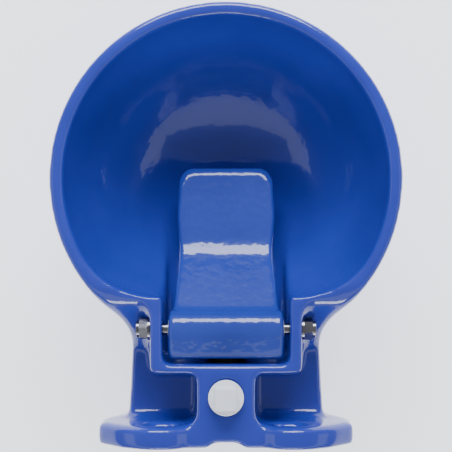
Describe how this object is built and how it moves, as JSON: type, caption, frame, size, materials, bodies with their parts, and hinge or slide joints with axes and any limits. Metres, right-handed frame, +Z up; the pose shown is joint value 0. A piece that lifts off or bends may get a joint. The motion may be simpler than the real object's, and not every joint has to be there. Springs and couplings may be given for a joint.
{
  "type": "livestock drinking bowl",
  "caption": "Round wall-mounted livestock drinking bowl of enamelled cast iron, with a hinged pressure tongue that opens a spring-loaded water valve behind it.",
  "frame": {"origin": "midway between the two bolt slots, on the wall face", "axes": "+X across the wall, +Y into the wall, the bowl reaches out towards -Y, +Z up"},
  "size_m": [0.24, 0.303, 0.1175],
  "materials": {
    "blue_enamel": "glossy fired enamel on cast iron",
    "stainless": "turned stainless steel",
    "white_plastic": "moulded, satin",
    "rubber": "matt",
    "nylon": "matt",
    "brass": "turned",
    "stem_steel": "turned",
    "spring_steel": "drawn wire",
    "cage_plastic": "moulded"
  },
  "bodies": {
    "bowl": {"bowl_casting": "blue_enamel", "axle": "stainless", "washer_left": "stainless", "washer_right": "stainless", "lock_nut_left": "stainless", "lock_nut_right": "stainless", "nylon_ring_left": "nylon", "nylon_ring_right": "nylon", "plug": "white_plastic", "plug_seal": "rubber", "valve_body": "brass", "valve_gasket": "rubber", "stem_guide": "nylon", "spring_cage": "cage_plastic", "valve_spring": "spring_steel"},
    "tongue": {"tongue": "blue_enamel", "tongue_bush_left": "nylon", "tongue_bush_right": "nylon"},
    "stem": {"valve_stem": "stem_steel", "seal_disc": "rubber", "disc_carrier": "brass", "stem_nut": "brass"}
  },
  "joints": [
    {"name": "tongue_press", "type": "hinge", "parent": "bowl", "child": "tongue", "pos_m": [0, -0.0802, 0.001], "axis": [1, 0, 0], "range_deg": [0, 8.5], "stiffness_Nm_per_rad": 1.2, "springref_deg": -28.65},
    {"name": "stem_slide", "type": "slide", "parent": "bowl", "child": "stem", "axis": [0, 1, 0], "range_m": [0, 0.0038], "deforming": ["valve_spring"]}
  ],
  "couplings": [
    {"joint": "stem_slide", "follows": "tongue_press", "m_per_rad": 0.025}
  ]
}
